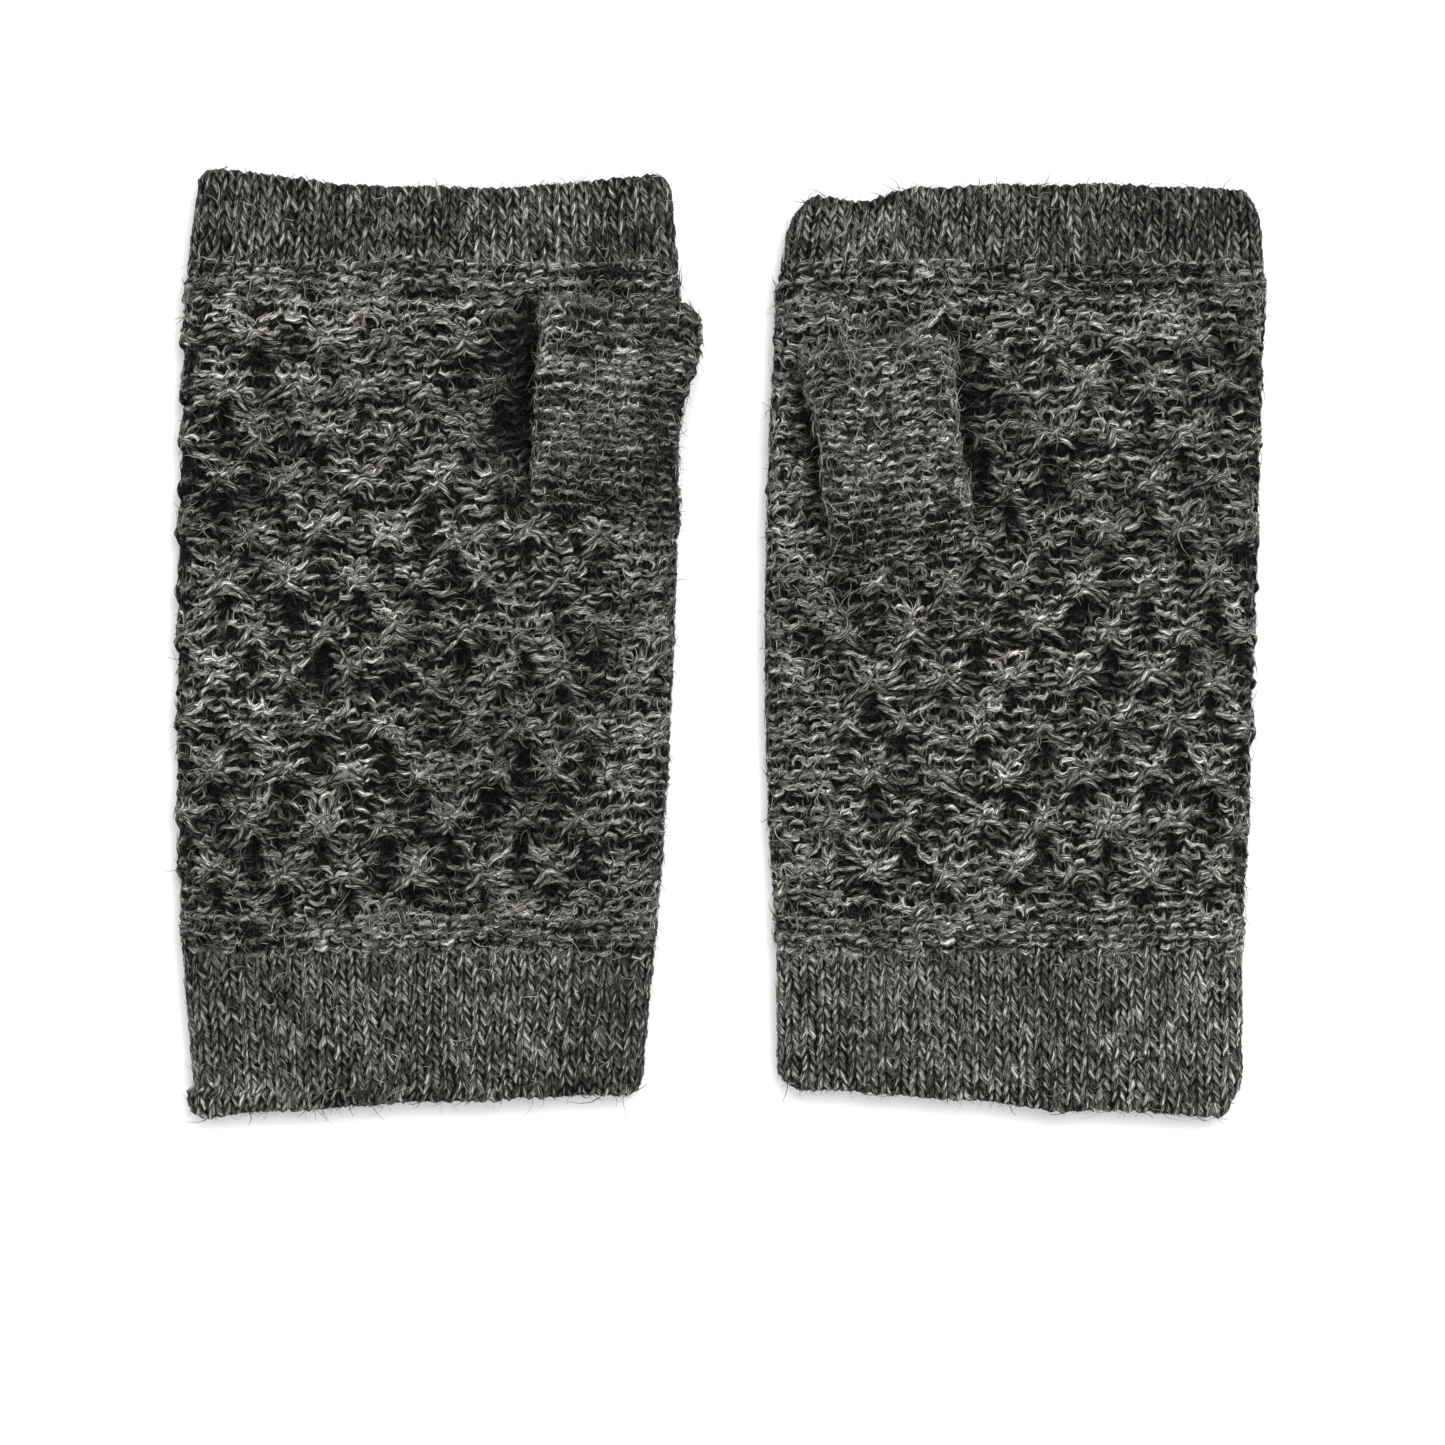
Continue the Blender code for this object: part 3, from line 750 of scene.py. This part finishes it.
def wool(name, dark, middle, light, contrast=1.0):
    """Heathered carded wool: dark and light fibres twisted together along the yarn."""
    g = Graph(name)
    uv = g.add("ShaderNodeUVMap", uv_map="yarn")
    parts = g.add("ShaderNodeSeparateXYZ", {0: uv.outputs[0]})
    u, v = parts.outputs[0], parts.outputs[1]
    angle = g.math("MULTIPLY_ADD", v, TAU, g.math("MULTIPLY", u, TWIST * UV_LENGTH))
    cos, sin = g.math("COSINE", angle), g.math("SINE", angle)

    def streaks(along, around, detail):
        at = g.add("ShaderNodeCombineXYZ", {
            0: g.math("MULTIPLY", u, along), 1: g.math("MULTIPLY", cos, around),
            2: g.math("MULTIPLY", sin, around),
        })
        noise = g.add("ShaderNodeTexNoise", {"Vector": at.outputs[0], "Scale": 1.0, "Detail": detail,
                                             "Roughness": 0.62})
        return noise.outputs["Fac"]

    broad, fine = streaks(2.6, 1.1, 1.0), streaks(6.5, 3.2, 2.0)
    tone = g.add("ShaderNodeAttribute", attribute_name="tone").outputs["Fac"]
    deep = g.add("ShaderNodeAttribute", attribute_name="deep").outputs["Fac"]
    ply = g.math("COSINE", g.math("MULTIPLY", angle, float(PLIES)))
    mixed = g.math("MULTIPLY_ADD", broad, 0.35, g.math("MULTIPLY", fine, 0.65))
    mixed = g.math("MULTIPLY_ADD", g.math("SUBTRACT", mixed, 0.5), 3.0 * contrast, 0.43)
    of_stitch = g.math("MULTIPLY_ADD", tone, 0.26, -0.10)
    # Each stitch's own random tone, and painted shade: the colour is a little darker in the groove between
    # the plies than on their crowns.
    mixed = g.math("ADD", mixed, g.math("MULTIPLY_ADD", ply, 0.10, of_stitch))
    ramp = g.add("ShaderNodeValToRGB", {0: mixed})
    stops = ramp.color_ramp.elements
    stops[0].position, stops[0].color = 0.12, grey(dark, 0.12)
    stops[1].position, stops[1].color = 0.92, grey(light)
    for place, value in ((0.45, middle * 0.75), (0.62, middle * 1.35)):
        stop = stops.new(place)
        stop.color = grey(value, 0.01)
    at = g.add("ShaderNodeTexCoord").outputs["Object"]
    patches = g.add("ShaderNodeTexNoise", {"Vector": at, "Scale": 55.0, "Detail": 1.0}).outputs["Fac"]
    brown = g.math("MULTIPLY_ADD", patches, 3.2, -1.7)
    tinted = g.add("ShaderNodeMix", {0: g.add("ShaderNodeClamp", {0: brown}).outputs[0], 6: ramp.outputs[0],
                                     7: (1.0, 0.93, 0.84, 1)}, data_type="RGBA", blend_type="MULTIPLY")
    cloudy = g.add("ShaderNodeTexNoise", {"Vector": at, "Scale": 26.0, "Detail": 1.0}).outputs["Fac"]
    cloudy = g.math("MULTIPLY_ADD", cloudy, 1.5, 0.25)
    uneven = g.add("ShaderNodeVectorMath", {0: tinted.outputs[2], 3: cloudy}, operation="SCALE")
    # Painted shade: the deep attribute darkens the colour towards near black where the yarn lies in shadow,
    # in pits, gaps and beside the thumb.
    shade = g.add("ShaderNodeMix", {0: g.steeper(deep, 0.98), 6: uneven.outputs[0],
                                    7: grey(dark * 0.25, 0.1)}, data_type="RGBA")
    g.set("Base Color", shade.outputs[2])
    height = g.math("MULTIPLY_ADD", fine, 1.0, g.math("MULTIPLY", ply, 0.12))
    bump = g.add("ShaderNodeBump", {"Height": height, "Strength": 0.9, "Distance": 0.35 * MM})
    g.set("Normal", bump.outputs[0])
    g.set("Roughness", g.math("MULTIPLY_ADD", fine, 0.25, 0.72))
    g.set("Specular IOR Level", 0.04)
    g.set("Sheen Weight", 0.02)
    g.set("Sheen Roughness", 0.5)
    return g.material


def fuzz(name, dark, light):
    """Loose fibres, each of one shade along most of its length."""
    g = Graph(name)
    tone = g.add("ShaderNodeAttribute", attribute_name="tone").outputs["Fac"]
    uv = g.add("ShaderNodeUVMap", uv_map="yarn")
    noise = g.add("ShaderNodeTexNoise", {"Vector": uv.outputs[0], "Scale": 2.5, "Detail": 1.0})
    mixed = g.math("MULTIPLY_ADD", noise.outputs["Fac"], 0.3, g.math("MULTIPLY", tone, 0.85))
    ramp = g.add("ShaderNodeValToRGB", {0: mixed})
    stops = ramp.color_ramp.elements
    stops[0].position, stops[0].color = 0.1, grey(dark, 0.03)
    stops[1].position, stops[1].color = 1.0, grey(light, 0.05)
    middle = stops.new(0.65)
    middle.color = grey((dark + light) * 0.35, 0.03)
    # Painted shade: the deep attribute darkens fibres that lie in shadow towards near black.
    deep = g.add("ShaderNodeAttribute", attribute_name="deep").outputs["Fac"]
    shade = g.add("ShaderNodeMix", {0: g.steeper(deep, 0.97), 6: ramp.outputs[0],
                                    7: grey(0.003, 0.1)}, data_type="RGBA")
    g.set("Base Color", shade.outputs[2])
    g.set("Roughness", g.math("MULTIPLY_ADD", noise.outputs["Fac"], 0.3, 0.55))
    g.set("Specular IOR Level", 0.08)
    return g.material


def backing(name):
    """The inside of the knitting seen through its gaps: soft ribs of yarn backs, painted near black as
    shade.
    """
    g = Graph(name)
    at = g.add("ShaderNodeTexCoord").outputs["Object"]
    noise = g.add("ShaderNodeTexNoise", {"Vector": at, "Scale": 900.0, "Detail": 3.0})
    ribs = g.add("ShaderNodeTexWave", {"Vector": at, "Scale": 120.0, "Distortion": 3.0, "Detail": 2.0},
                 bands_direction="Y")
    mixed = g.math("MULTIPLY_ADD", ribs.outputs["Fac"], 0.4, g.math("MULTIPLY", noise.outputs["Fac"], 0.6))
    ramp = g.add("ShaderNodeValToRGB", {0: mixed})
    stops = ramp.color_ramp.elements
    # Painted shade: near black, as the inside lies in shadow behind the yarn.
    stops[0].position, stops[0].color = 0.25, grey(0.004)
    stops[1].position, stops[1].color = 0.85, grey(0.035, 0.03)
    g.set("Base Color", ramp.outputs[0])
    bump = g.add("ShaderNodeBump", {"Height": mixed, "Strength": 0.8, "Distance": 0.5 * MM})
    g.set("Normal", bump.outputs[0])
    g.set("Roughness", 0.95)
    g.set("Specular IOR Level", 0.0)
    return g.material


LOOKS = {
    "band": wool("band_wool_yarn", 0.006, 0.110, 0.56, 1.2),
    # The knuckle bands are the same yarn as the cuffs, in a darker copy.
    "knuckle": wool("knuckle_band_wool_yarn", 0.005, 0.090, 0.48, 1.2),
    "hand": wool("hand_wool_yarn", 0.005, 0.172, 0.76, 1.15),
    "welt": wool("welt_wool_yarn", 0.006, 0.170, 0.72, 1.1),
    "thumb": wool("thumb_wool_yarn", 0.006, 0.200, 0.84, 1.1),
    "fuzz": fuzz("loose_wool_fibre", 0.006, 0.42),
    "nap": fuzz("wool_nap", 0.006, 0.55),
    "hair": fuzz("long_light_fibre", 0.25, 0.62),
    "backing": backing("knitting_backing_painted_shade"),
}


# ---------------------------------------------------------------- pieces


def attach(obj, move):
    """move is a body's name, or (body, body, start, end) for cloth at a joint; the tuple's parts are not
    used, and such cloth is only fixed where it lies.
    """
    if isinstance(move, str):
        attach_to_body(obj, move)
    else:
        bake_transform(obj)


def yarn_piece(zone, node, look, move):
    """A zone of knitting, standing for its CAD node."""
    obj = add_object(zone.mesh(f"{node}_yarn"), LOOKS[look])
    attach(obj, move)
    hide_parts(node)
    return obj


def fuzz_piece(glove, zones, name, count, nap_count, move, lying=0.45):
    """Short fibres over these zones, thicker locks of nap lying on them, and a few long hairs."""
    made = []
    numbers = {"fuzz": count, "nap": nap_count, "hair": max(LEAST_HAIRS, count // FUZZ_PER_HAIR)}
    for kind, (length, radius, flat, height) in FIBRES.items():
        mesh = fibres(zones, glove, numbers[kind], length, radius, flat or lying, height, f"{name}_{kind}")
        made.append(add_object(mesh, LOOKS[kind]))
        attach(made[-1], move)
    return made


def backing_piece(mesh, move):
    """The cloth behind the yarn. It lies inside the pieces that go with it, and rests on no other."""
    obj = add_object(mesh, LOOKS["backing"])
    attach(obj, move)


def make_hand(glove):
    side, body = glove.side, f"{glove.side}_glove"
    rows = Rows(HAND_STITCHES, range(-1, HAND_ROWS + 1), purl=True, wobble=2.2)  # one more under each welt
    honeycomb = Honeycomb(glove)
    if glove.thumb_side > 0:
        spans = {"side_strip": (11, 19), "palm": (19, 45), "back": (45, 71)}
    else:
        spans = {"palm": (15, 41), "side_strip": (41, 49), "back": (49, 75)}

    zones, made = {}, []
    for part, (first, last) in spans.items():
        zone = knit(glove.hand, rows, first, last, HAND_STITCHES, HAND_YARN,
                    move=honeycomb.move, shade=glove.shade, exposed=0.17)
        zones[part] = zone
        made.append(yarn_piece(zone, f"{side}_{part}", "hand", body))
        caught = [strands(glove, honeycomb, first, last, kind).arrays for kind in STRANDS]
        obj = add_object(Knit(*joined(caught)).mesh(f"{side}_{part}_floats"), LOOKS["hand"])
        attach(obj, body)
        made.append(obj)
        made += fuzz_piece(glove, [zone], f"{side}_{part}", 160 * (last - first),
                           255 * (last - first), body)

    def under(stitch, row):
        return honeycomb.move(stitch, row, 0 * row - CLOTH_DEPTH)[2]

    mesh = cloth_grid(f"{side}_hand_backing", glove.hand, HAND_STITCHES, -0.5, HAND_ROWS + 0.5, under)
    _, half = glove.width((glove.hand_start + glove.hand_end) / 2)
    backing_piece(mesh, body)


def make_welt(glove, name, span):
    side, body = glove.side, f"{glove.side}_glove"
    rows = Rows(BAND_STITCHES, range(WELT_ROWS), purl=True, wobble=1.8)
    zone = knit(glove.welt(span, WELT_ROWS), rows, 0, BAND_STITCHES, BAND_STITCHES, WELT_YARN)
    yarn_piece(zone, f"{side}_{name}_welt", "welt", body)
    fuzz_piece(glove, [zone], f"{side}_{name}_welt", 800, 1500, body)


def make_band(glove, at_wrist, count):
    side, name = glove.side, "wrist" if at_wrist else "knuckle"
    outer = f"{side}_{name}_{'cuff' if at_wrist else 'band'}"
    inner = f"{side}_{name}_facing"
    place = glove.band(at_wrist, count)
    extra = FOLD_ROWS + FACING_ROWS
    numbers = range(-extra, count) if at_wrist else range(count + extra)
    rows = Rows(BAND_STITCHES, numbers, purl=False)
    split = FACING_ROWS if at_wrist else -FACING_ROWS
    first, last = slice(None, split), slice(split, None)
    inside, outside = (first, last) if at_wrist else (last, first)
    start = glove.wrist_end if at_wrist else glove.knuckle_start
    reach = -WRIST_BEND if at_wrist else KNUCKLE_BEND
    middle, _ = glove.width(start)
    move = (f"{side}_glove", f"{side}_{name}", (middle, start, 0), (middle, start + reach, 0))
    made, zones = [], {}
    for node, only in ((outer, outside), (inner, inside)):
        zones[node] = knit(place, rows, 0, BAND_STITCHES, BAND_STITCHES, BAND_YARN, only=only)
        look = "band" if at_wrist else "knuckle"
        made.append(yarn_piece(zones[node], node, look, move))
    shown = count + FOLD_ROWS
    made += fuzz_piece(glove, [zones[outer]], outer, 130 * shown, 60 * shown, move, lying=0.75)

    def under(stitch, row):
        return 0 * row - CLOTH_DEPTH * 0.9

    low, high = min(numbers) + 0.5, max(numbers) + 1.0
    mesh = cloth_grid(f"{side}_{name}_backing", place, BAND_STITCHES, low, high, under)
    _, half = glove.width(start)
    backing_piece(mesh, move)


def make_thumb(glove):
    side = glove.side
    thumb = glove.thumb
    place = thumb.place(THUMB_ROWS)
    rows = Rows(THUMB_STITCHES, range(THUMB_ROWS), purl=True, wobble=2.0)
    base = thumb.hinge + thumb.ey * thumb.root
    start, end = (tuple(base + thumb.ey * reach) for reach in THUMB_BEND)
    move = (f"{side}_glove", f"{side}_thumb", start, end)
    parts = {"join": slice(0, JOIN_ROWS), "tube": slice(JOIN_ROWS, THUMB_ROWS)}
    made, zones = [], []
    for part, only in parts.items():
        zone = knit(place, rows, 0, THUMB_STITCHES, THUMB_STITCHES, THUMB_YARN, only=only, shade=thumb.shade)
        zones.append(zone)
        made.append(yarn_piece(zone, f"{side}_thumb_{part}", "thumb", move))
    edge = cast_off(place, THUMB_ROWS)
    made += fuzz_piece(glove, [*zones, edge], f"{side}_thumb", 5500, 3400, move, lying=0.7)
    made.append(yarn_piece(edge, f"{side}_thumb_edge", "thumb", move))

    def under(stitch, row):
        return 0 * row - CLOTH_DEPTH * 0.8

    mesh = cloth_grid(f"{side}_thumb_backing", place, THUMB_STITCHES, 0, THUMB_ROWS, under)
    backing_piece(mesh, move)


def cast_off(place, count):
    """Two strands twisted round each other along the thumb's open edge."""
    points_round = THUMB_STITCHES * 14
    f = np.arange(points_round + 1) / points_round
    twisted = []
    for k in range(2):
        uneven = ripples(78 * MM * f, 0 * f, 5 + k, 0.004, 0.012)
        phase = f * TAU * THUMB_STITCHES * 0.62 + k * math.pi + 0.8 * uneven
        row = count - 0.1 + 0.16 * np.cos(phase) + 0.12 * uneven
        lift = 0.42 * MM * np.sin(phase)
        points, normals = place(f, row, lift)
        shape = (1, len(f))
        twisted.append([points[None], normals[None], np.full(shape, THUMB_YARN),
                        np.full(shape, 0.4 + 0.3 * k), np.zeros(shape), lift[None]])
    return Knit(*joined(twisted))


# How each glove lies, in millimetres. The hems are curves over the share of the half width, from -1 at
# the low-x edge to 1. A notch is a dip in a hem, or a drop if negative, at a share. Corners are how far
# the hem's low-x and high-x ends are rounded off. The sway is the middle line's drift to +x along y. The
# valley is how far the palm sinks beside the thumb, on its inner side, its outer side and past its tip.
# The thumb bulges at its outer corner, and the painted shade on it is from 0 to 1.
LIE = {
    "left": {
        "wrist_hem": (-0.74, 0.55, 0.2),
        "wrist_corners": (0.8, 0.3),
        "wrist_notch": (0, 0),
        "knuckle_hem": (4.1, -1.1, -2.1),
        "knuckle_corners": (1.2, 0.7),
        "knuckle_notch": (0, 0),
        "sway": (-0.00004, 0.0043, -0.35),
        "valley": (9.5, 2.0, 2.5),
        "thumb_bulge": 1.0,
        "thumb_painted_shade": 0.5,
    },
    "right": {
        "wrist_hem": (0.2, -0.5, 0.3),
        "wrist_corners": (0.7, 3.4),
        "wrist_notch": (0.22, -1.2),
        "knuckle_hem": (-1.6, -0.3, 0.6),
        "knuckle_corners": (2.2, 1.8),
        "knuckle_notch": (-0.72, 2.6),
        "sway": (0.00024, 0.0039, -1.38),
        "valley": (3.8, 3.5, 2.4),
        "thumb_bulge": 0.6,
        "thumb_painted_shade": 0.3,
    },
}

for number, side in enumerate(LIE):
    glove = Glove(side, LIE[side], 40 + 20 * number)
    glove.thumb = Thumb(glove)
    make_hand(glove)
    make_welt(glove, "wrist", (glove.wrist_end, glove.hand_start))
    make_welt(glove, "knuckle", (glove.hand_end, glove.knuckle_start))
    make_band(glove, at_wrist=True, count=CUFF_ROWS)
    make_band(glove, at_wrist=False, count=KNUCKLE_ROWS)
    make_thumb(glove)


# ---------------------------------------------------------------- floor, light and camera


def make_floor():
    bpy.ops.mesh.primitive_plane_add(size=6, location=(0, 0, -0.2 * MM))
    floor = bpy.context.object
    floor.name = "floor"
    g = Graph("floor_paper")
    g.set("Base Color", (0.97, 0.97, 0.97, 1))
    g.set("Roughness", 0.95)
    floor.data.materials.append(g.material)


def make_light(name, location, size, energy):
    light = bpy.data.lights.new(name, "AREA")
    light.size, light.energy = size, energy
    obj = bpy.data.objects.new(name, light)
    obj.location = location
    obj.rotation_euler = (-Vector(location)).to_track_quat("-Z", "Y").to_euler()
    bpy.context.scene.collection.objects.link(obj)


def make_world(strength):
    world = bpy.data.worlds.new("studio")
    world.use_nodes = True
    background = world.node_tree.nodes["Background"]
    background.inputs["Color"].default_value = (1, 1, 1, 1)
    background.inputs["Strength"].default_value = strength
    bpy.context.scene.world = world


def make_camera():
    """Straight above, as the gloves were laid out: 304 mm of floor fills the picture."""
    camera = bpy.data.cameras.new("camera")
    camera.lens, camera.sensor_width = 177, 36
    camera.clip_start = 0.05
    obj = bpy.data.objects.new("camera", camera)
    obj.location = (0, -15.9 * MM, 1.51)
    bpy.context.scene.collection.objects.link(obj)
    bpy.context.scene.camera = obj


make_floor()
make_light("key", (0.3, 0.5, 1.5), 0.8, 15)
make_light("top", (0, 0, 1.7), 1.2, 9)
make_world(0.78)
make_camera()
bpy.context.scene.view_settings.view_transform = "Standard"
